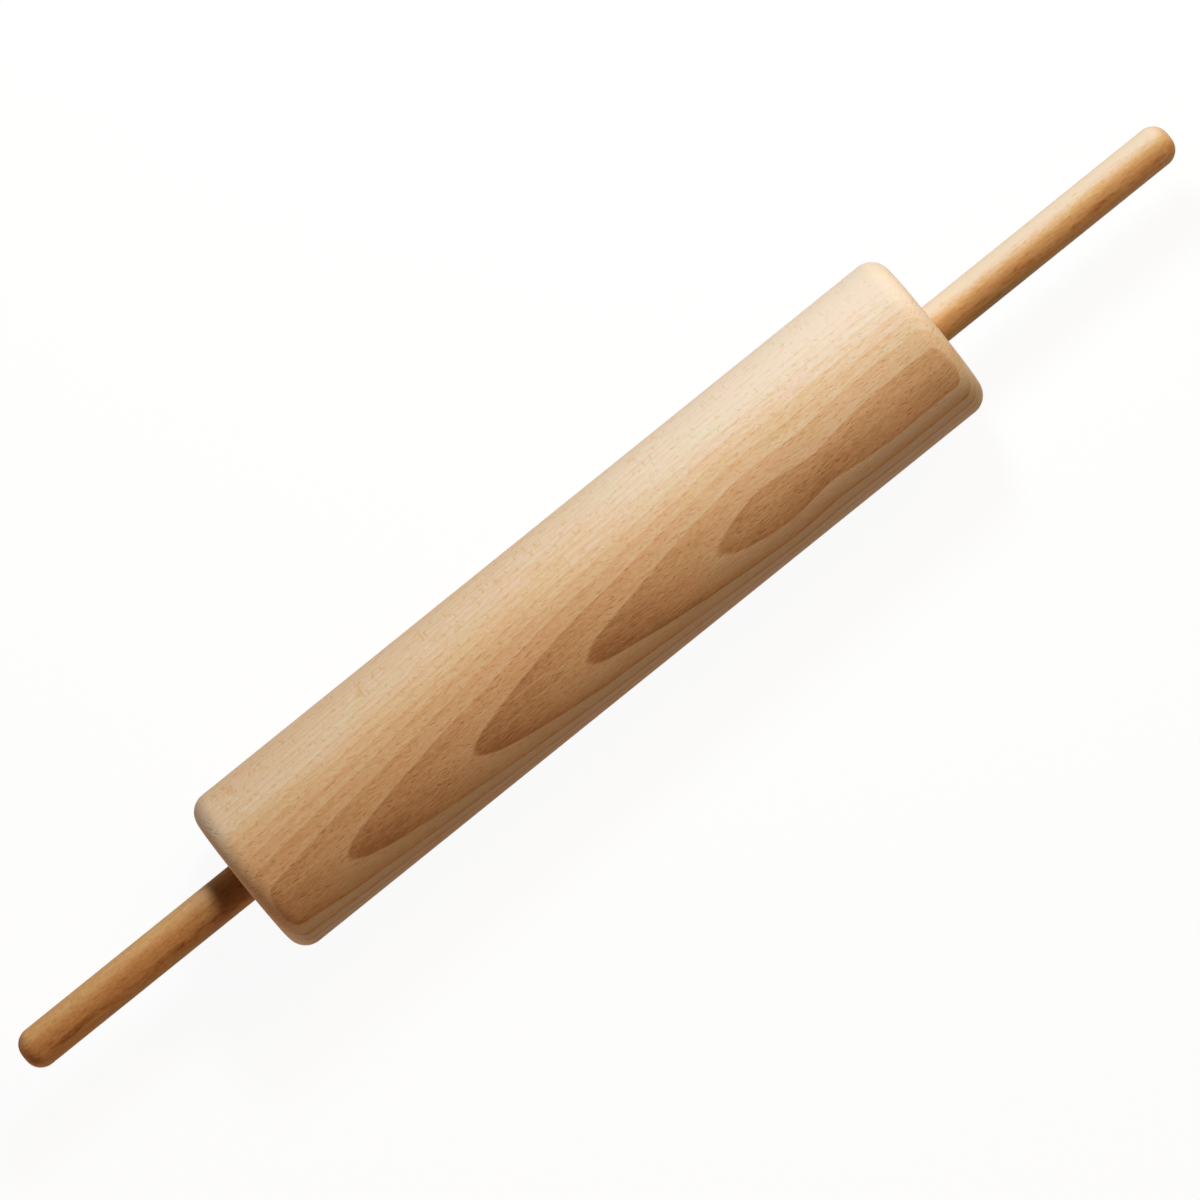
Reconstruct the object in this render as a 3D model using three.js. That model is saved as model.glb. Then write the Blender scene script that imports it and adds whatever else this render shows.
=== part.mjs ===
// A beech rolling pin. A thick turned barrel spins on a slim one-piece beech axle,
// and the two ends of that axle are the handles.
// Each end of the barrel holds a pressed-in bearing sleeve. Outside it a thrust washer and a
// glued-on stop collar sit in a recess, and the two collars keep the axle from sliding out.
// Millimetres, +Z up. The pin lies on its barrel along X, with the origin on the worktop
// under the middle of the axle.
import * as THREE from "three";

// Barrel
const barrelLength = 265;
const barrelDiameter = 56;
const rimRadius = 6.5;
const boreDiameter = 15;
const recessMouthChamfer = 0.8;

// Axle
const axleLength = 440;
const axleDiameter = 13;
const axleTipRadius = 5.4;
// The axle was fixed this far off the middle of the barrel, so one handle is longer.
const axleShift = 3.2;

// Bearing sleeves
const sleeveLength = 20;
const sleeveWall = 2.2;
const sleeveLeadIn = 0.6;

// Thrust washers
const washerThickness = 1.2;
const washerDiameter = 21;

// Stop collars
const collarThickness = 6;
const collarDiameter = 22;
const collarChamfer = 0.8;
const collarSink = 1.5;

// Clearances: a turning fit, a pressed or glued seat, side play along the axle,
// and the free ring around a collar
const runningGap = 0.3;
const seatGap = 0.15;
const sidePlay = 0.3;
const collarGap = 0.9;

// Facets around each turned piece, and steps along a rounded edge
const barrelSides = 72;
const smallSides = 48;
const roundSteps = 8;

// Radii and places that follow from the sizes above
const barrelRadius = barrelDiameter / 2;
const axleRadius = axleDiameter / 2;
const sleeveInnerRadius = axleRadius + runningGap;
const sleeveOuterRadius = sleeveInnerRadius + sleeveWall;
const seatRadius = sleeveOuterRadius + seatGap;
const collarInnerRadius = axleRadius + seatGap;
const collarOuterRadius = collarDiameter / 2;
const recessRadius = collarOuterRadius + collarGap;
const barrelEnd = barrelLength / 2;
const collarOuterFace = barrelEnd - collarSink;
const collarInnerFace = collarOuterFace - collarThickness;
const washerOuterFace = collarInnerFace - sidePlay;
const washerInnerFace = washerOuterFace - washerThickness;
const recessFloor = washerInnerFace - sidePlay;
const sleeveInnerFace = recessFloor - sleeveLength;
const seatFloor = sleeveInnerFace - seatGap;
// The barrel rests on one of its flats, which lies nearer the axis than its corners.
const axisHeight = barrelRadius * Math.cos(Math.PI / barrelSides);

const barrelBeech = new THREE.MeshStandardMaterial({ color: "#d3aa7c", roughness: 0.55, metalness: 0 });
const axleBeech = new THREE.MeshStandardMaterial({ color: "#c98f57", roughness: 0.5, metalness: 0 });
const nylon = new THREE.MeshStandardMaterial({ color: "#e9e2d0", roughness: 0.45, metalness: 0 });

// Outlines are lists of points whose x is a radius and whose y lies along the axle.
const point = (radius, along) => new THREE.Vector2(radius, along);

// A rounded edge that leaves a flat end at the height `end` and runs into a cylinder.
function roundedEdge(radius, end, edgeRadius) {
  const quarter = Math.PI / 2;
  const centreRadius = radius - edgeRadius;
  const centreHeight = end - edgeRadius;
  const arc = new THREE.EllipseCurve(centreRadius, centreHeight, edgeRadius, edgeRadius, quarter, 0, true);
  return arc.getPoints(roundSteps);
}

// The same outline for the other end, from the cylinder back to the axis.
const mirrored = (outline) => outline.map(({ x, y }) => point(x, -y)).reverse();

// A solid of revolution whose outline runs from the top of the axis down the outside.
// Half a facet of turn puts a flat, and not a corner, underneath.
function turned(outline, sides) {
  const fromBelow = [...outline].reverse();
  return new THREE.LatheGeometry(fromBelow, sides, Math.PI / sides);
}

// A ring between two radii and two heights, with all four edges cut back.
function chamferedRing(inner, outer, low, high, chamfer) {
  const section = [
    point(inner + chamfer, high),
    point(outer - chamfer, high),
    point(outer, high - chamfer),
    point(outer, low + chamfer),
    point(outer - chamfer, low),
    point(inner + chamfer, low),
    point(inner, low + chamfer),
    point(inner, high - chamfer),
  ];
  return turned([...section, section[0]], smallSides);
}

// A plain square-edged ring.
function plainRing(inner, outer, low, high) {
  const section = [point(inner, high), point(outer, high), point(outer, low), point(inner, low)];
  return turned([...section, section[0]], smallSides);
}

// Barrel: one turned block with rounded rims, a through bore, and at each end
// a seat for the sleeve below a recess for the washer and the collar.
function barrelGeometry() {
  const endOutline = [
    point(boreDiameter / 2, seatFloor),
    point(seatRadius, seatFloor),
    point(seatRadius, recessFloor),
    point(recessRadius, recessFloor),
    point(recessRadius, barrelEnd - recessMouthChamfer),
    point(recessRadius + recessMouthChamfer, barrelEnd),
    ...roundedEdge(barrelRadius, barrelEnd, rimRadius),
  ];
  return turned([...endOutline, ...mirrored(endOutline), endOutline[0]], barrelSides);
}

// Axle: one straight dowel with rounded handle tips.
function axleGeometry() {
  const tip = axleLength / 2;
  const endOutline = [point(0, tip), ...roundedEdge(axleRadius, tip, axleTipRadius)];
  return turned([...endOutline, ...mirrored(endOutline)], smallSides);
}

// A bearing sleeve, pressed in until its outer face is level with the recess floor.
function sleeveGeometry() {
  return chamferedRing(sleeveInnerRadius, sleeveOuterRadius, sleeveInnerFace, recessFloor, sleeveLeadIn);
}

// A thrust washer, loose between the turning barrel and the still collar.
function washerGeometry() {
  return plainRing(sleeveInnerRadius, washerDiameter / 2, washerInnerFace, washerOuterFace);
}

// A stop collar, glued to the axle and sunk below the barrel's end face.
function collarGeometry() {
  return chamferedRing(collarInnerRadius, collarOuterRadius, collarInnerFace, collarOuterFace, collarChamfer);
}

function piece(name, geometry, material) {
  const mesh = new THREE.Mesh(geometry, material);
  mesh.name = name;
  return mesh;
}

// The fittings of one end, modelled at the +Y end of the lathe axis.
function endFittings(side) {
  const fittings = new THREE.Group();
  fittings.add(
    piece(`${side}_bearing_sleeve`, sleeveGeometry(), nylon),
    piece(`${side}_thrust_washer`, washerGeometry(), nylon),
    piece(`${side}_stop_collar`, collarGeometry(), axleBeech),
  );
  return fittings;
}

// The barrel and its two sets of fittings share one centre, and the axle is set off it.
const barrelCentre = new THREE.Group();
barrelCentre.position.y = -axleShift;
barrelCentre.add(piece("barrel", barrelGeometry(), barrelBeech));
barrelCentre.add(endFittings("right"));
const leftFittings = endFittings("left");
leftFittings.rotation.x = Math.PI;
barrelCentre.add(leftFittings);

// The lathe axis is laid along X, at the height where the barrel rests on the worktop.
const rollingPin = new THREE.Group();
rollingPin.rotation.z = -Math.PI / 2;
rollingPin.position.z = axisHeight;
rollingPin.add(barrelCentre);
rollingPin.add(piece("axle", axleGeometry(), axleBeech));

export default new THREE.Group().add(rollingPin);
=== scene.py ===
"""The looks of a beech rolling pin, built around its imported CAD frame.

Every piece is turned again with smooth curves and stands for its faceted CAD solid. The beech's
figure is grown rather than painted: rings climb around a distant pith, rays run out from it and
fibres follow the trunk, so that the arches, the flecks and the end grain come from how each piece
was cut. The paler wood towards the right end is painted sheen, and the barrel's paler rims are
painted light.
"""

import logging
import math
from collections.abc import Iterable, Mapping, Sequence
from dataclasses import dataclass
from enum import Enum
from typing import Any, Optional, Union

import bmesh
import bpy
from mathutils import Matrix, Vector


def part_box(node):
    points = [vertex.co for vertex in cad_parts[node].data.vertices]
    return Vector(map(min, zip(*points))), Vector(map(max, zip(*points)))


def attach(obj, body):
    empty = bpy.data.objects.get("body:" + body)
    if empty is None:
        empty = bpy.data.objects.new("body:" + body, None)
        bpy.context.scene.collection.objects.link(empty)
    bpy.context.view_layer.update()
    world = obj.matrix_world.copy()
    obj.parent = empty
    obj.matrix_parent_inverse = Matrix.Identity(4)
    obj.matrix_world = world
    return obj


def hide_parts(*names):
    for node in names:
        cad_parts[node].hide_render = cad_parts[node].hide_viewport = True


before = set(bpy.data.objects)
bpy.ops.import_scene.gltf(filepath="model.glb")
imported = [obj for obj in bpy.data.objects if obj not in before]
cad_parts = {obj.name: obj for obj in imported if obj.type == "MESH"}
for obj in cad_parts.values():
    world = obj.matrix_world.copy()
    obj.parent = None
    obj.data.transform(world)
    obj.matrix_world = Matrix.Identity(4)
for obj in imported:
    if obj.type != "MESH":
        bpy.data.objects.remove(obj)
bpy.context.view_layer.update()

log = logging.getLogger("rolling_pin")

MM = 0.001
MERGE_DISTANCE = 0.001 * MM
SAME_PLACE = 0.01 * MM
SHARP_ANGLE = math.radians(35)

Number = Union[float, "Value"]
Setting = Union[Number, str, Sequence[float]]
Outline = Sequence[tuple[float, float]]


class End(Enum):
    """The two ends of the pin, as the names of the CAD nodes spell them."""

    LEFT = "left"
    RIGHT = "right"


class Slot(Enum):
    """The record's material slots."""

    BARREL = "barrel_beech"
    AXLE = "axle_beech"
    NYLON = "nylon"


class Body(Enum):
    """The two CAD bodies: the axle is held, and the barrel turns on it."""

    AXLE = "axle"
    BARREL = "barrel"


def srgb(red: int, green: int, blue: int) -> tuple[float, float, float, float]:
    """Turns a colour as it is seen on a screen into the linear one that a shader takes.

    Args:
        red: Red from 0 to 255.
        green: Green from 0 to 255.
        blue: Blue from 0 to 255.

    Returns:
        Linear red, green, blue and an alpha of 1.
    """
    shares = (channel / 255 for channel in (red, green, blue))
    linear = [s / 12.92 if s <= 0.04045 else ((s + 0.055) / 1.055) ** 2.4 for s in shares]
    return (*linear, 1.0)


class Value:
    """A shader socket that takes part in plain sums. Each sum adds its Math node."""

    def __init__(self, graph: "ShaderGraph", socket: bpy.types.NodeSocket) -> None:
        """Keeps the socket and the graph that it belongs to.

        Args:
            graph: The graph that new nodes go into.
            socket: An output socket of one of its nodes.
        """
        self.graph = graph
        self.socket = socket

    def sibling(self, output: Union[int, str]) -> "Value":
        """Another output of the same node."""
        return Value(self.graph, self.socket.node.outputs[output])

    def __add__(self, other: Number) -> "Value":
        """This plus other."""
        return self.graph.math("ADD", self, other)

    def __radd__(self, other: Number) -> "Value":
        """Other plus this."""
        return self.graph.math("ADD", other, self)

    def __sub__(self, other: Number) -> "Value":
        """This minus other."""
        return self.graph.math("SUBTRACT", self, other)

    def __rsub__(self, other: Number) -> "Value":
        """Other minus this."""
        return self.graph.math("SUBTRACT", other, self)

    def __mul__(self, other: Number) -> "Value":
        """This times other."""
        return self.graph.math("MULTIPLY", self, other)

    def __rmul__(self, other: Number) -> "Value":
        """Other times this."""
        return self.graph.math("MULTIPLY", other, self)

    def __truediv__(self, other: Number) -> "Value":
        """This divided by other."""
        return self.graph.math("DIVIDE", self, other)

    def __pow__(self, other: Number) -> "Value":
        """This to the power of other."""
        return self.graph.math("POWER", self, other)

    def __rpow__(self, other: Number) -> "Value":
        """Other to the power of this."""
        return self.graph.math("POWER", other, self)

    def __neg__(self) -> "Value":
        """Minus this."""
        return self.graph.math("MULTIPLY", self, -1.0)

    def __abs__(self) -> "Value":
        """The size of this without its sign."""
        return self.graph.math("ABSOLUTE", self)


class ShaderGraph:
    """The nodes of one material or world."""

    def __init__(self, owner: Union[bpy.types.Material, bpy.types.World]) -> None:
        """Takes over an owner's nodes and clears them.

        Args:
            owner: The material or the world.
        """
        owner.use_nodes = True
        self.tree = owner.node_tree
        self.tree.nodes.clear()

    def add(
        self,
        kind: str,
        settings: Optional[Mapping[str, Any]] = None,
        inputs: Optional[Mapping[Union[int, str], Setting]] = None,
        output: Union[int, str] = 0,
    ) -> Value:
        """Adds one node.

        Args:
            kind: The node's type.
            settings: Its own settings, with a ramp's stops as pairs of place and colour.
            inputs: Its sockets' numbers, colours or links, by name or by number.
            output: The output that is wanted.

        Returns:
            That output.
        """
        node = self.tree.nodes.new(kind)
        for name, setting in (settings or {}).items():
            if name == "stops":
                self._set_stops(node.color_ramp.elements, setting)
            else:
                setattr(node, name, setting)
        for name, value in (inputs or {}).items():
            if isinstance(value, Value):
                self.tree.links.new(value.socket, node.inputs[name])
            else:
                node.inputs[name].default_value = value
        return Value(self, node.outputs[output]) if node.outputs else Value(self, node.inputs[0])

    @staticmethod
    def _set_stops(elements: Any, stops: Sequence[tuple[float, Sequence[float]]]) -> None:
        """Gives a colour ramp its stops.

        Args:
            elements: The ramp's elements, of which a new ramp has two.
            stops: Pairs of place and colour, in rising order.
        """
        for _ in stops[2:]:
            elements.new(0.5)
        for element, (place, colour) in zip(elements, stops):
            element.position = place
            element.color = colour

    def math(self, operation: str, *terms: Number) -> Value:
        """Adds a Math node over one to three terms."""
        return self.add("ShaderNodeMath", {"operation": operation}, dict(enumerate(terms)))

    def vector(self, x: Number, y: Number, z: Number) -> Value:
        """Joins three numbers into a vector."""
        return self.add("ShaderNodeCombineXYZ", inputs={"X": x, "Y": y, "Z": z})

    def split(self, vector: Value) -> tuple[Value, Value, Value]:
        """Takes a vector apart into its three numbers."""
        first = self.add("ShaderNodeSeparateXYZ", inputs={"Vector": vector})
        return first, first.sibling("Y"), first.sibling("Z")

    def step(self, value: Value, low: float, high: float) -> Value:
        """A soft step from 0 at low to 1 at high.

        Args:
            value: The number that is looked at.
            low: Where the step starts.
            high: Where it ends.

        Returns:
            The step's height, from 0 to 1.
        """
        settings = {"interpolation_type": "SMOOTHSTEP", "clamp": True}
        return self.add(
            "ShaderNodeMapRange", settings, {"Value": value, "From Min": low, "From Max": high}
        )

    def noise(
        self, place: Value, grain: Sequence[float], detail: float = 0.0, twist: float = 0.0
    ) -> Value:
        """Smooth noise from 0 to 1 with a mean of a half.

        Args:
            place: Where it is read.
            grain: The length of its blotches along each of the place's three directions.
            detail: How many finer layers it has.
            twist: How far its blotches are bent.

        Returns:
            The noise.
        """
        scale = [1 / length for length in grain]
        stretched = self.add(
            "ShaderNodeVectorMath", {"operation": "MULTIPLY"}, {0: place, 1: scale}
        )
        inputs = {"Vector": stretched, "Scale": 1.0, "Detail": detail, "Distortion": twist}
        return self.add("ShaderNodeTexNoise", None, inputs)

    def mix(self, share: Number, first: Setting, second: Setting) -> Value:
        """Mixes two colours, from the first at a share of 0 to the second at 1."""
        return self.add("ShaderNodeMix", {"data_type": "RGBA"}, {0: share, 6: first, 7: second}, 2)

    def output(self, kind: str, shader: Value) -> None:
        """Ends the graph in an output node of that kind."""
        self.add(kind, None, {"Surface": shader})


def new_material(name: str) -> tuple[bpy.types.Material, ShaderGraph]:
    """Makes an empty material and its graph."""
    material = bpy.data.materials.new(name)
    return material, ShaderGraph(material)


@dataclass(frozen=True)
class Growth:
    """How the tree grew where a piece was cut from it. Lengths are in millimetres.

    The rings lie around a pith outside the piece, on the far side from its flat-sawn face, which
    may twist slowly around the piece. The rings climb along it up to where the trunk runs straight.
    Each swell is a place along the piece, its length and how far the rings bulge there.
    """

    flat_sawn_turn: float
    pith_distance: float
    ring_width: float
    ring_phase: float
    climb: float
    straight_from: float
    straight_softness: float
    wander: float
    wander_grain: tuple[float, float, float]
    twist: float = 0.0
    swells: tuple[tuple[float, float, float], ...] = ()


@dataclass(frozen=True)
class BeechFinish:
    """Turned and sanded beech, from pale wood to the brown that starts each year's ring.

    Tones run from 0 for the palest colour to 1 for the darkest, and each named tone is what its
    cause adds. The sheen tone is painted sheen towards the right end, where the lamp stands, and a
    negative end tone is painted light on the rims. Bands and grains are in millimetres.
    """

    name: str
    growth: Growth
    axis_height: float
    radius: float
    end_middle: float
    end_reach: float
    end_softness: float
    tones: tuple[tuple[int, int, int], ...]
    base_tone: float
    painted_sheen_tone: float
    painted_sheen_band: tuple[float, float]
    face_keeps: float
    warm_tone: float
    warm_band: tuple[float, float]
    ring_tone: float
    ring_band: tuple[float, float]
    ring_lean: float
    quiet_ring_share: float
    ring_edge: float
    mottle_tone: float
    fibre_tone: float
    speckle_tone: float
    ray_tone: float
    # Negative: painted light on the rims. Positive: darker end grain.
    end_grain_and_painted_rim_light_tone: float
    roughness: float
    specular: float
    relief: float
    line_power: float = 0.7
    line_sharpening: float = 4.0
    least_year: float = 0.8
    year_change: float = 0.1
    least_patch: float = 0.75
    patch_change: float = 0.5
    past_warmth: float = 1.1
    past_strength: float = 1.0
    end_calm: float = 0.82
    patch_grain: tuple[float, float, float] = (30.0, 4.0, 4.0)
    mottle_grain: tuple[float, float, float] = (60.0, 8.0, 8.0)
    fibre_grain: tuple[float, float, float] = (6.0, 0.7, 0.7)
    fibre_twist: float = 0.5
    fibre_height: float = 0.6
    fibre_roughness: float = 0.10
    speckle_grain: tuple[float, float, float] = (1.6, 0.6, 0.6)
    ray_grain: tuple[float, float, float] = (2.0, 0.6, 4.5)
    ray_edges: tuple[float, float] = (0.56, 0.72)
    ray_twist: float = 0.4
    ray_depth: float = 0.7
    ray_roughness: float = 0.06
    tint_grain: tuple[float, float, float] = (16.0, 4.0, 4.0)
    rosy_tint: tuple[float, float, float, float] = (1.04, 0.965, 1.00, 1.0)
    golden_tint: tuple[float, float, float, float] = (0.985, 1.015, 0.955, 1.0)

    def material(self) -> bpy.types.Material:
        """Builds the finish.

        Returns:
            The finished material.
        """
        material, graph = new_material(self.name)
        trunk = self._trunk(graph)
        along, _, _ = graph.split(trunk)
        fibre = graph.noise(trunk, self.fibre_grain, detail=2.0, twist=self.fibre_twist)
        speckle = graph.noise(trunk, self.speckle_grain, detail=1.0)
        ray = graph.noise(trunk, self.ray_grain, detail=1.0, twist=self.ray_twist)
        ray = graph.step(ray, *self.ray_edges)
        end_start = self.end_reach - self.end_softness
        end = graph.step(abs(along - self.end_middle), end_start, self.end_reach)
        tone = self._tone(graph, trunk, 1 - self.end_calm * end)
        tone = tone + self.fibre_tone * (fibre - 0.5) + self.speckle_tone * (speckle - 0.5)
        # A negative end tone is painted light on the rounded rims; a positive one darkens the end
        # grain.
        tone = tone + self.ray_tone * ray + self.end_grain_and_painted_rim_light_tone * end
        places = [i / (len(self.tones) - 1) for i in range(len(self.tones))]
        stops = [(place, srgb(*colour)) for place, colour in zip(places, self.tones)]
        ramp = graph.add("ShaderNodeValToRGB", {"stops": stops}, {0: tone})
        tint = graph.mix(graph.noise(trunk, self.tint_grain), self.rosy_tint, self.golden_tint)
        colour = graph.add("ShaderNodeVectorMath", {"operation": "MULTIPLY"}, {0: ramp, 1: tint})
        height = self.fibre_height * fibre - self.ray_depth * ray
        bump_inputs = {"Strength": 1.0, "Distance": self.relief * MM, "Height": height}
        normal = graph.add("ShaderNodeBump", None, bump_inputs)
        roughness = self.roughness + self.fibre_roughness * (fibre - 0.5) + self.ray_roughness * ray
        shader = graph.add(
            "ShaderNodeBsdfPrincipled",
            None,
            {
                "Base Color": colour,
                "Roughness": roughness,
                "Specular IOR Level": self.specular,
                "Normal": normal,
            },
        )
        graph.output("ShaderNodeOutputMaterial", shader)
        return material

    def _trunk(self, graph: ShaderGraph) -> Value:
        """The place in the trunk, in millimetres.

        Args:
            graph: The material's graph.

        Returns:
            The place along the trunk, across the rays, and outward from the pith, as a vector. The
            last is counted from the ring that passes through the piece's own axis.
        """
        growth = self.growth
        place = graph.add("ShaderNodeTexCoord", output="Object")
        per_mm = 1 / MM
        scale = {0: place, 1: (per_mm,) * 3, 2: (0.0, 0.0, -self.axis_height * per_mm)}
        centred = graph.add("ShaderNodeVectorMath", {"operation": "MULTIPLY_ADD"}, scale)
        along, _, _ = graph.split(centred)
        turn = -math.radians(growth.flat_sawn_turn) - math.radians(growth.twist) * along
        cut_inputs = {"Vector": centred, "Angle": turn}
        cut = graph.add("ShaderNodeVectorRotate", {"rotation_type": "X_AXIS"}, cut_inputs)
        _, across, outward = graph.split(cut)
        from_pith = outward + growth.pith_distance
        radius = (from_pith * from_pith + across * across) ** 0.5
        return graph.vector(along, across, radius - growth.pith_distance)

    def _rings(self, graph: ShaderGraph, trunk: Value) -> Value:
        """The number of the year's ring at each place, with the share of the year after the point.

        Args:
            graph: The material's graph.
            trunk: The place in the trunk.

        Returns:
            The ring number.
        """
        growth = self.growth
        along, _, outward = graph.split(trunk)
        straightened = graph.math(
            "SMOOTH_MIN", along, growth.straight_from, growth.straight_softness
        )
        wander = growth.wander * (graph.noise(trunk, growth.wander_grain, detail=3.0) - 0.5)
        grown = outward + growth.climb * straightened + wander
        for place, length, rise in growth.swells:
            from_swell = (along - place) / length
            grown = grown + rise * math.e ** (-(from_swell * from_swell))
        return grown / growth.ring_width + growth.ring_phase

    def _tone(self, graph: ShaderGraph, trunk: Value, calm: Value) -> Value:
        """How brown the wood is, from 0 for the palest to 1 for the darkest.

        Each ring starts with a dark line that fades through the year. The rings are broad on the
        two flat-sawn faces, towards the bark and towards the pith. Past each face they are narrow
        and strong on one side, and faint and patchy on the other. Towards the right end, off the
        flat-sawn face, the wood is painted paler as sheen from the lamp.

        Args:
            graph: The material's graph.
            trunk: The place in the trunk.
            calm: The share of the rings' strength that is left.

        Returns:
            The tone without fibres and rays.
        """
        along, across, outward = graph.split(trunk)
        flatness = abs(outward)
        past = graph.math("MAXIMUM", -across, 0.0)
        warm = graph.step(flatness - self.past_warmth * past, *self.warm_band)
        face = graph.step(flatness - self.ring_lean * across, *self.ring_band)
        rings = self._rings(graph, trunk)
        year = graph.math("FLOOR", rings)
        luck = graph.add(
            "ShaderNodeTexWhiteNoise", {"noise_dimensions": "1D"}, {"W": year}, "Value"
        )
        of_year = rings - year
        dark = graph.math("MINIMUM", of_year / self.ring_edge, 1 - of_year)
        beside = 1 + (past - flatness) / self.radius
        line = dark ** (self.line_power + self.line_sharpening * beside)
        patch = graph.noise(trunk, self.patch_grain, detail=1.0)
        strength = (self.quiet_ring_share + (1 - self.quiet_ring_share) * face) * calm
        strength = strength * (self.least_year + self.year_change * luck)
        strength = strength * (self.least_patch + self.patch_change * patch)
        strength = strength * (1 + self.past_strength * past / self.radius)
        mottle = graph.noise(trunk, self.mottle_grain, detail=2.0) - 0.5
        # Painted sheen: paler towards the right end, where the lamp stands, except where face_keeps
        # holds the flat-sawn face back.
        pale = graph.step(along, *self.painted_sheen_band) * (1 - self.face_keeps * face)
        tone = self.base_tone + self.painted_sheen_tone * pale + self.warm_tone * warm
        return tone + self.ring_tone * strength * line + self.mottle_tone * mottle


@dataclass(frozen=True)
class NylonFinish:
    """Natural nylon, milky, with the fine rings of its turning."""

    name: str = "natural_nylon"
    axis_height: float = 0.0
    pale: tuple[int, int, int] = (238, 232, 216)
    dull: tuple[int, int, int] = (222, 213, 192)
    ring_pitch: float = 0.35
    cloud_size: float = 6.0
    cloud_roughness: float = 0.12
    roughness: float = 0.42
    relief: float = 0.02

    def material(self) -> bpy.types.Material:
        """Builds the finish.

        Returns:
            The finished material.
        """
        material, graph = new_material(self.name)
        place = graph.add("ShaderNodeTexCoord", output="Object")
        _, across, up = graph.split(place)
        above = up - self.axis_height
        radius = (across * across + above * above) ** 0.5
        grooves = graph.math("SINE", radius * (math.tau / (self.ring_pitch * MM)))
        cloud = graph.noise(place, (self.cloud_size * MM,) * 3, detail=3.0)
        height = 0.5 + 0.5 * grooves
        bump_inputs = {"Strength": 1.0, "Distance": self.relief * MM, "Height": height}
        normal = graph.add("ShaderNodeBump", None, bump_inputs)
        shader = graph.add(
            "ShaderNodeBsdfPrincipled",
            None,
            {
                "Base Color": graph.mix(cloud, srgb(*self.pale), srgb(*self.dull)),
                "Roughness": self.roughness + self.cloud_roughness * (cloud - 0.5),
                "Normal": normal,
            },
        )
        graph.output("ShaderNodeOutputMaterial", shader)
        return material


class Turning:
    """A solid of revolution about the pin's axis, cut the way a lathe cuts it."""

    def __init__(self, axis_height: float, outline: Outline, sides: int) -> None:
        """Spins an outline into a closed solid.

        Args:
            axis_height: The height of the pin's axis.
            outline: Pairs of place along the axis and radius. It closes on itself, or on the axis
                where it starts there.
            sides: The number of faces around.
        """
        self.axis_height = axis_height
        self.mesh = bmesh.new()
        corners = [
            self.mesh.verts.new((along, 0.0, axis_height + radius)) for along, radius in outline
        ]
        closed = [*corners, corners[0]] if outline[0][1] > 0 else corners
        edges = [self.mesh.edges.new(pair) for pair in zip(closed, closed[1:])]
        bmesh.ops.spin(
            self.mesh,
            geom=[*corners, *edges],
            cent=(0.0, 0.0, axis_height),
            axis=(1.0, 0.0, 0.0),
            angle=math.tau,
            steps=sides,
            use_merge=True,
        )
        bmesh.ops.remove_doubles(self.mesh, verts=self.mesh.verts[:], dist=MERGE_DISTANCE)
        bmesh.ops.recalc_face_normals(self.mesh, faces=self.mesh.faces[:])

    def _radius(self, vertex: bmesh.types.BMVert) -> float:
        """A vertex's distance from the axis."""
        return math.hypot(vertex.co.y, vertex.co.z - self.axis_height)

    def round_edge(self, along: float, radius: float, width: float, segments: int) -> None:
        """Rounds the circular edge at a place along the axis and a radius.

        Args:
            along: The edge's place along the axis.
            radius: The edge's radius.
            width: How far the rounding reaches on both faces.
            segments: The number of steps in it.
        """
        def on_edge(vertex: bmesh.types.BMVert) -> bool:
            """Whether a vertex lies on the edge."""
            beside = abs(vertex.co.x - along) < SAME_PLACE
            return beside and abs(self._radius(vertex) - radius) < SAME_PLACE

        edges = [edge for edge in self.mesh.edges if all(on_edge(vertex) for vertex in edge.verts)]
        bmesh.ops.bevel(
            self.mesh,
            geom=edges,
            offset=width,
            offset_type="OFFSET",
            affect="EDGES",
            segments=segments,
            profile=0.5,
            material=-1,
        )

    def cut_across(self, places: Iterable[float]) -> None:
        """Adds edge loops, so that long faces shade evenly.

        Args:
            places: Where the loops lie along the axis.
        """
        for along in places:
            bmesh.ops.bisect_plane(
                self.mesh,
                geom=[*self.mesh.verts, *self.mesh.edges, *self.mesh.faces],
                dist=MERGE_DISTANCE,
                plane_co=(along, 0.0, 0.0),
                plane_no=(1.0, 0.0, 0.0),
            )

    def piece(self, name: str) -> bpy.types.Object:
        """Turns the solid into a smooth-shaded object in the scene.

        Args:
            name: The object's name.

        Returns:
            The object, at the origin with its place in its mesh.
        """
        bmesh.ops.recalc_face_normals(self.mesh, faces=self.mesh.faces[:])
        for face in self.mesh.faces:
            face.smooth = True
        data = bpy.data.meshes.new(name)
        self.mesh.to_mesh(data)
        self.mesh.free()
        data.set_sharp_from_angle(angle=SHARP_ANGLE)
        made = bpy.data.objects.new(name, data)
        bpy.context.scene.collection.objects.link(made)
        return made


def dress(
    piece: bpy.types.Object, material: bpy.types.Material, body: Body, node: str
) -> None:
    """Gives a piece its finish, lets it ride on its body and puts it in its CAD node's place.

    Args:
        piece: The new piece.
        material: Its finish.
        body: The CAD body that carries it.
        node: The CAD node that it stands for.
    """
    piece.data.materials.append(material)
    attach(piece, body.value)
    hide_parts(node)
    log.info("%s: %d faces, stands for %s", piece.name, len(piece.data.polygons), node)


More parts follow.
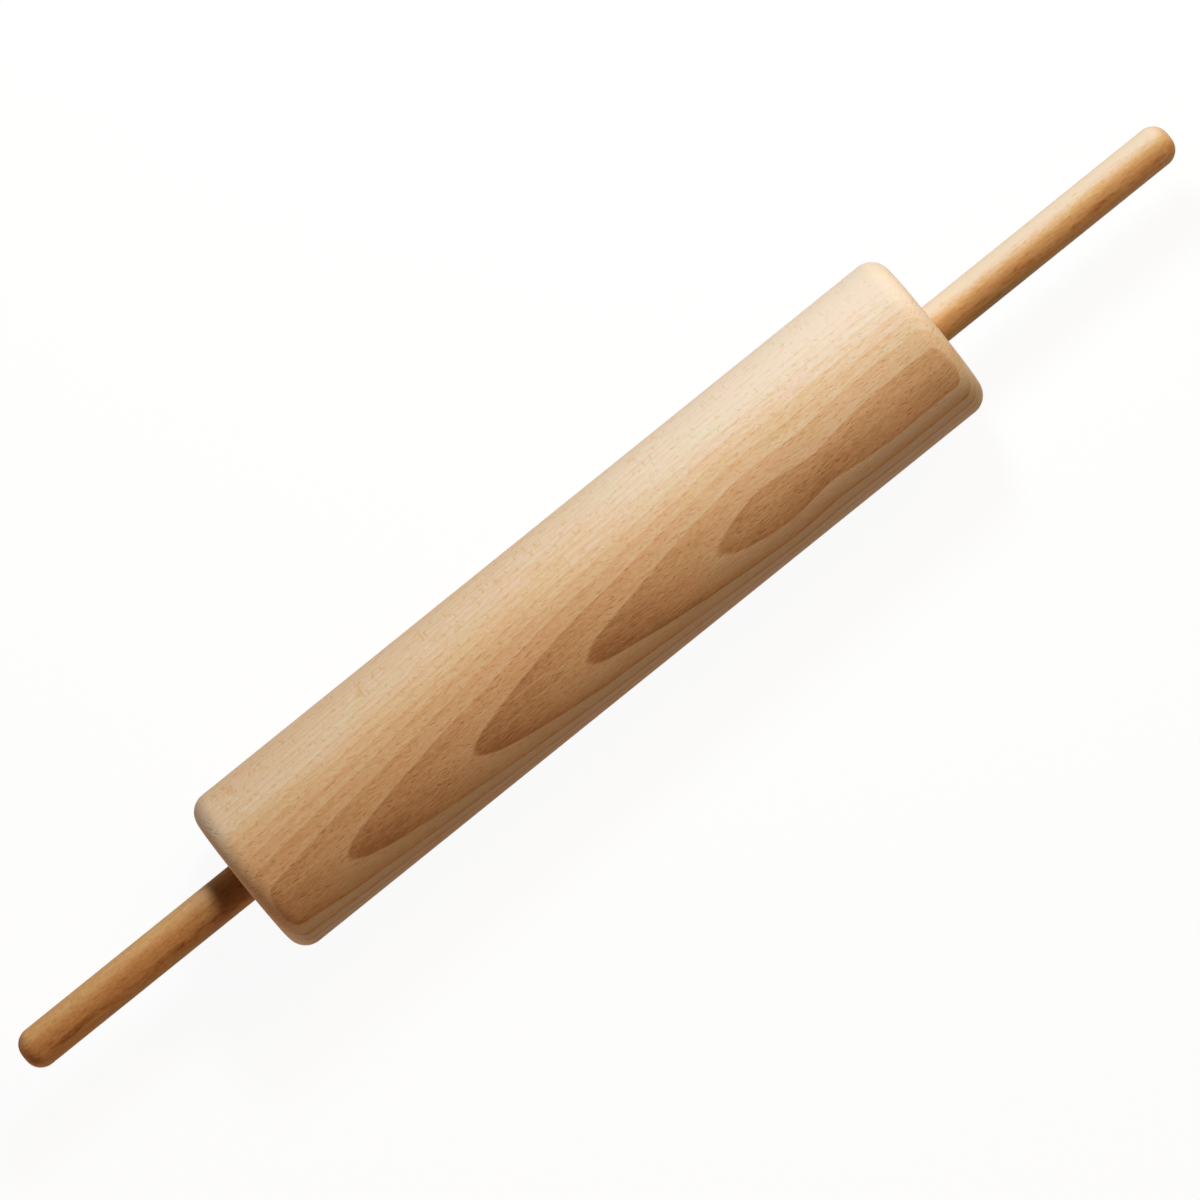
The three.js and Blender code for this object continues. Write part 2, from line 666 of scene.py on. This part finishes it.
@dataclass
class Barrel:
    """The turned barrel: rounded rims, a through bore and a stepped recess at each end."""

    rim: float = 6.5 * MM
    recess_radius: float = 11.9 * MM
    mouth_chamfer: float = 0.8 * MM
    seat_radius: float = 9.15 * MM
    bore_radius: float = 7.5 * MM
    sides: int = 192
    rim_segments: int = 14
    mouth_segments: int = 4
    support: float = 0.6 * MM

    def __post_init__(self) -> None:
        """Reads the barrel's place, and what its recesses hold, from the frame."""
        low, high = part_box("barrel")
        self.left, self.right = low.x, high.x
        self.middle = (low.x + high.x) / 2
        self.radius = (high.z - low.z) / 2
        self.axis_height = (high.z + low.z) / 2
        sleeve_low, sleeve_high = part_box("right_bearing_sleeve")
        seat_gap = self.seat_radius - (sleeve_high.y - sleeve_low.y) / 2
        self.recess_floor = sleeve_high.x - self.middle
        self.seat_floor = sleeve_low.x - self.middle - seat_gap

    def outline(self) -> Outline:
        """Draws half a lengthwise section of the barrel.

        Returns:
            The closed outline, from the right seat out over the barrel and in to the left seat.
        """
        half = self.right - self.middle
        end = [
            (self.seat_floor, self.bore_radius),
            (self.seat_floor, self.seat_radius),
            (self.recess_floor, self.seat_radius),
            (self.recess_floor, self.recess_radius),
            (half, self.recess_radius),
            (half, self.radius),
        ]
        right = [(self.middle + along, radius) for along, radius in end]
        left = [(self.middle - along, radius) for along, radius in reversed(end)]
        return [*right, *left]

    def build(self) -> bpy.types.Object:
        """Turns the barrel.

        Returns:
            The barrel without its finish.
        """
        turning = Turning(self.axis_height, self.outline(), self.sides)
        for end in (self.left, self.right):
            turning.round_edge(end, self.radius, self.rim, self.rim_segments)
            turning.round_edge(end, self.recess_radius, self.mouth_chamfer, self.mouth_segments)
        inset = self.rim + self.support
        turning.cut_across((self.left + inset, self.middle, self.right - inset))
        return turning.piece("turned_barrel")

    def finish(self) -> BeechFinish:
        """Describes the barrel's wood.

        Returns:
            Pale beech with tall arches on its flat-sawn face, one of them at a known place.
        """
        ring_width = 2.275
        climb = 0.0483
        arch_place = 35.92
        arch_year = 4.0
        growth = Growth(
            flat_sawn_turn=28.0,
            pith_distance=200.0,
            ring_width=ring_width,
            ring_phase=arch_year - (self.radius / MM + climb * arch_place) / ring_width,
            climb=climb,
            straight_from=57.0,
            straight_softness=12.0,
            wander=0.35,
            wander_grain=(60.0, 14.0, 14.0),
            twist=-0.0226,
            swells=((76.0, 12.0, -0.45), (-15.0, 15.0, 0.2), (-107.0, 20.0, 0.09)),
        )
        return BeechFinish(
            name="barrel_beech_wood",
            growth=growth,
            axis_height=self.axis_height,
            radius=self.radius / MM,
            end_middle=self.middle / MM,
            end_reach=(self.right - self.middle) / MM,
            end_softness=6.0,
            tones=((215, 200, 184), (209, 178, 143), (196, 151, 108), (158, 109, 69)),
            base_tone=0.18,
            # Painted sheen towards the right end, under the lamp; it takes the wood down to the
            # palest tone there.
            painted_sheen_tone=-0.30,
            painted_sheen_band=(-50.0, 135.0),
            face_keeps=1.0,
            warm_tone=0.38,
            warm_band=(10.0, 28.0),
            ring_tone=0.62,
            ring_band=(14.0, 38.0),
            ring_lean=0.45,
            quiet_ring_share=0.32,
            ring_edge=0.05,
            mottle_tone=0.25,
            fibre_tone=0.4,
            speckle_tone=0.3,
            ray_tone=0.13,
            # Painted light: the rims are made paler to stand in for light on their rounding.
            end_grain_and_painted_rim_light_tone=-0.08,
            roughness=0.7,
            specular=0.14,
            relief=0.10,
        )

    def dress(self, piece: bpy.types.Object) -> None:
        """Finishes the barrel and puts it in its node's place."""
        dress(piece, self.finish().material(), Body.BARREL, "barrel")


@dataclass
class Axle:
    """The one-piece axle, whose rounded ends are the handles."""

    tip_rounding: float = 5.4 * MM
    sides: int = 96
    tip_segments: int = 12
    support: float = 0.5 * MM

    def __post_init__(self) -> None:
        """Reads the axle's place from the frame."""
        low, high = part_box("axle")
        self.left, self.right = low.x, high.x
        self.radius = (high.z - low.z) / 2
        self.axis_height = (high.z + low.z) / 2

    def build(self) -> bpy.types.Object:
        """Turns the axle.

        Returns:
            The axle without its finish.
        """
        right = [(self.right, 0.0), (self.right, self.radius)]
        outline = [*right, (self.left, self.radius), (self.left, 0.0)]
        turning = Turning(self.axis_height, outline, self.sides)
        for end in (self.left, self.right):
            turning.round_edge(end, self.radius, self.tip_rounding, self.tip_segments)
        inset = self.tip_rounding + self.support
        turning.cut_across((self.left + inset, 0.0, self.right - inset))
        return turning.piece("handle_axle")

    def finish(self) -> BeechFinish:
        """Describes the axle's wood.

        Returns:
            Oiled golden beech with straight grain, wavy on its flat-sawn side.
        """
        ring_width = 2.4
        surface_year = 3.05
        growth = Growth(
            flat_sawn_turn=32.0,
            pith_distance=70.0,
            ring_width=ring_width,
            ring_phase=surface_year - self.radius / MM / ring_width,
            climb=0.0,
            straight_from=400.0,
            straight_softness=10.0,
            wander=1.0,
            wander_grain=(14.0, 6.0, 6.0),
        )
        return BeechFinish(
            name="axle_beech_wood",
            growth=growth,
            axis_height=self.axis_height,
            radius=self.radius / MM,
            end_middle=(self.left + self.right) / 2 / MM,
            end_reach=(self.right - self.left) / 2 / MM,
            end_softness=4.0,
            tones=((212, 193, 174), (204, 162, 112), (182, 128, 78), (132, 80, 42)),
            base_tone=0.32,
            # Painted sheen towards the right handle, under the lamp; it takes the wood down to the
            # palest tone there.
            painted_sheen_tone=-0.39,
            painted_sheen_band=(20.0, 150.0),
            face_keeps=0.7,
            warm_tone=0.36,
            warm_band=(1.8, 6.3),
            ring_tone=0.42,
            ring_band=(3.5, 6.3),
            ring_lean=0.2,
            quiet_ring_share=0.15,
            ring_edge=0.12,
            line_power=1.3,
            mottle_tone=0.2,
            fibre_tone=0.35,
            speckle_tone=0.25,
            ray_tone=0.1,
            end_grain_and_painted_rim_light_tone=0.25,
            roughness=0.6,
            specular=0.08,
            relief=0.06,
        )

    def dress(self, piece: bpy.types.Object, material: bpy.types.Material) -> None:
        """Finishes the axle and puts it in its node's place."""
        dress(piece, material, Body.AXLE, "axle")


@dataclass
class EndFittings:
    """What keeps the axle in one end of the barrel: a sleeve, a thrust washer and a stop collar."""

    end: End
    running_radius: float = 6.8 * MM
    glued_radius: float = 6.65 * MM
    sleeve_rounding: float = 0.6 * MM
    washer_rounding: float = 0.2 * MM
    collar_rounding: float = 0.8 * MM
    sides: int = 96
    segments: int = 4

    def ring(self, node: str, name: str, inner: float, rounding: float) -> bpy.types.Object:
        """Turns one ring in the place of a CAD node.

        Args:
            node: The CAD node.
            name: The new piece's name.
            inner: The radius of its hole.
            rounding: The width of the rounding on its four edges.

        Returns:
            The ring without its finish.
        """
        low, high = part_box(node)
        outer = (high.z - low.z) / 2
        outline = [(high.x, inner), (high.x, outer), (low.x, outer), (low.x, inner)]
        turning = Turning((high.z + low.z) / 2, outline, self.sides)
        for along, radius in outline:
            turning.round_edge(along, radius, rounding, self.segments)
        return turning.piece(name)

    def build(self) -> dict[str, bpy.types.Object]:
        """Turns the three rings.

        Returns:
            The rings by what they are.
        """
        word = self.end.value
        rings = {
            "bearing_sleeve": (f"{word}_nylon_sleeve", self.running_radius, self.sleeve_rounding),
            "thrust_washer": (f"{word}_nylon_washer", self.running_radius, self.washer_rounding),
            "stop_collar": (f"{word}_beech_collar", self.glued_radius, self.collar_rounding),
        }
        return {kind: self.ring(f"{word}_{kind}", *sizes) for kind, sizes in rings.items()}

    def dress(
        self,
        rings: Mapping[str, bpy.types.Object],
        nylon: bpy.types.Material,
        beech: bpy.types.Material,
    ) -> None:
        """Finishes the rings and puts each in its node's place.

        Args:
            rings: The rings by what they are.
            nylon: The finish of the sleeve and the washer.
            beech: The finish of the collar.
        """
        word = self.end.value
        dress(rings["bearing_sleeve"], nylon, Body.BARREL, f"{word}_bearing_sleeve")
        dress(rings["thrust_washer"], nylon, Body.AXLE, f"{word}_thrust_washer")
        dress(rings["stop_collar"], beech, Body.AXLE, f"{word}_stop_collar")


@dataclass(frozen=True)
class Lamp:
    """A near lamp on the pin's far side, whose light falls off from right to left.

    At a level of 1, white wood that faces it from the axle would render white.
    """

    name: str
    along: float
    lean: float
    distance: float
    size: float
    level: float
    colour: tuple[int, int, int]


@dataclass(frozen=True)
class Fill:
    """Soft, warm light from one side, as from a wall that the lamp shines on."""

    name: str
    away: tuple[float, float, float]
    level: float
    colour: tuple[int, int, int]


@dataclass
class Studio:
    """A pale floor, a lamp near the pin's right end, soft light from two sides, a camera above."""

    image_size: int = 1200
    pixels_per_mm: float = 3.341
    origin_pixel: tuple[float, float] = (596.8, 597.0)
    picture_turn: float = 38.857
    camera_distance: float = 3.6
    sensor: float = 36.0
    view_depth: float = 100.0
    lamp: Lamp = Lamp(
        "near_lamp",
        along=0.25,
        lean=38.5,
        distance=0.65,
        size=0.15,
        level=1.11,
        colour=(234, 248, 255),
    )
    fills: tuple[Fill, ...] = (
        Fill("right_fill", away=(0.68, 0.24, 0.72), level=0.48, colour=(255, 215, 145)),
        Fill("left_fill", away=(-1.0, -0.5, 0.14), level=0.35, colour=(255, 216, 192)),
    )
    fill_spread: float = 35.0
    ambient: tuple[int, int, int] = (255, 240, 226)
    ambient_level: float = 0.01
    floor_size: float = 8.0
    floor_glow: float = 0.94
    floor_bounce: tuple[int, int, int] = (210, 190, 168)

    def build(self, axis_height: float) -> None:
        """Sets up the camera, the lights, the world and the floor.

        Args:
            axis_height: The height of the pin's axis, where the picture's scale is true.
        """
        scene = bpy.context.scene
        scene.view_settings.view_transform = "Standard"
        scene.camera = self._camera(axis_height)
        self._shine(axis_height)
        for fill in self.fills:
            self._soften(fill)
        self._world()
        self._floor()

    def _camera(self, axis_height: float) -> bpy.types.Object:
        """A long lens straight above the pin, turned so that the pin lies aslant in the picture.

        Args:
            axis_height: The height at which the picture's scale is true.

        Returns:
            The camera.
        """
        turn = math.radians(self.picture_turn)
        right = Vector((math.cos(turn), -math.sin(turn), 0.0))
        up = Vector((math.sin(turn), math.cos(turn), 0.0))
        half = self.image_size / 2
        beside = (half - self.origin_pixel[0]) / self.pixels_per_mm * MM
        below = (half - self.origin_pixel[1]) / self.pixels_per_mm * MM
        centre = right * beside - up * below
        data = bpy.data.cameras.new("picture_camera")
        data.sensor_width = self.sensor
        half_width = half / self.pixels_per_mm * MM
        data.lens = self.sensor / 2 * self.camera_distance / half_width
        data.clip_end = self.view_depth
        camera = bpy.data.objects.new("picture_camera", data)
        axes = Matrix((right, up, Vector((0.0, 0.0, 1.0)))).transposed()
        place = centre + Vector((0.0, 0.0, axis_height + self.camera_distance))
        camera.matrix_world = Matrix.Translation(place) @ axes.to_4x4()
        bpy.context.scene.collection.objects.link(camera)
        return camera

    def _light(self, name: str, kind: str, away: Vector, place: Vector) -> bpy.types.Light:
        """Adds a light.

        Args:
            name: The light's name.
            kind: Blender's type of light.
            away: The direction from the pin to the light.
            place: Where the light stands.

        Returns:
            The light's data.
        """
        data = bpy.data.lights.new(name, kind)
        light = bpy.data.objects.new(name, data)
        turn = away.to_track_quat("Z", "Y").to_matrix().to_4x4()
        light.matrix_world = Matrix.Translation(place) @ turn
        bpy.context.scene.collection.objects.link(light)
        return data

    def _shine(self, axis_height: float) -> None:
        """Adds the lamp, which shines square at the pin's axis.

        Args:
            axis_height: The height of the pin's axis.
        """
        lamp = self.lamp
        lean = math.radians(lamp.lean)
        away = Vector((0.0, math.sin(lean), math.cos(lean))) * lamp.distance
        foot = Vector((lamp.along, 0.0, axis_height))
        data = self._light(lamp.name, "AREA", away, foot + away)
        data.shape = "DISK"
        data.size = lamp.size
        data.energy = lamp.level * (math.pi * lamp.distance) ** 2
        data.color = srgb(*lamp.colour)[:3]

    def _soften(self, fill: Fill) -> None:
        """Adds the soft light from one side.

        Args:
            fill: The light.
        """
        away = Vector(fill.away)
        data = self._light(fill.name, "SUN", away, away.normalized())
        data.energy = fill.level * math.pi
        data.angle = math.radians(self.fill_spread)
        data.color = srgb(*fill.colour)[:3]

    @staticmethod
    def _seen(graph: ShaderGraph) -> Value:
        """1 for what the camera sees, also in a gloss or through glass, and 0 for bounced light."""
        path = graph.add("ShaderNodeLightPath", output="Is Camera Ray")
        return path + path.sibling("Is Glossy Ray") + path.sibling("Is Transmission Ray")

    def _world(self) -> None:
        """White where it is seen, and an even warm light all round."""
        world = bpy.data.worlds.new("studio")
        bpy.context.scene.world = world
        graph = ShaderGraph(world)
        seen = self._seen(graph)
        colour = graph.mix(seen, srgb(*self.ambient), (1.0, 1.0, 1.0, 1.0))
        strength = self.ambient_level + (1 - self.ambient_level) * seen
        light = {"Color": colour, "Strength": strength}
        background = graph.add("ShaderNodeBackground", None, light)
        graph.output("ShaderNodeOutputWorld", background)

    def _floor(self) -> None:
        """A pale floor that keeps a soft shadow and throws warm light back."""
        material, graph = new_material("pale_floor")
        seen = self._seen(graph)
        colour = graph.mix(seen, srgb(*self.floor_bounce), (1.0, 1.0, 1.0, 1.0))
        matt = graph.add("ShaderNodeBsdfDiffuse", None, {"Color": colour})
        white = graph.add("ShaderNodeEmission", None, {"Strength": 1.0})
        glow = seen * self.floor_glow
        shader = graph.add("ShaderNodeMixShader", None, {0: glow, 1: matt, 2: white})
        graph.output("ShaderNodeOutputMaterial", shader)
        mesh = bmesh.new()
        bmesh.ops.create_grid(mesh, x_segments=1, y_segments=1, size=self.floor_size / 2)
        data = bpy.data.meshes.new("studio_floor")
        mesh.to_mesh(data)
        mesh.free()
        data.materials.append(material)
        floor = bpy.data.objects.new("studio_floor", data)
        bpy.context.scene.collection.objects.link(floor)


def main() -> None:
    """Builds the pin piece by piece, then the studio around it."""
    logging.basicConfig(level=logging.INFO, format="%(name)s: %(message)s")
    barrel = Barrel()
    barrel.dress(barrel.build())
    axle = Axle()
    axle_beech = axle.finish().material()
    axle.dress(axle.build(), axle_beech)
    nylon = NylonFinish(axis_height=axle.axis_height).material()
    for end in End:
        fittings = EndFittings(end)
        fittings.dress(fittings.build(), nylon, axle_beech)
    Studio().build(axle.axis_height)


if __name__ == "__main__":
    main()
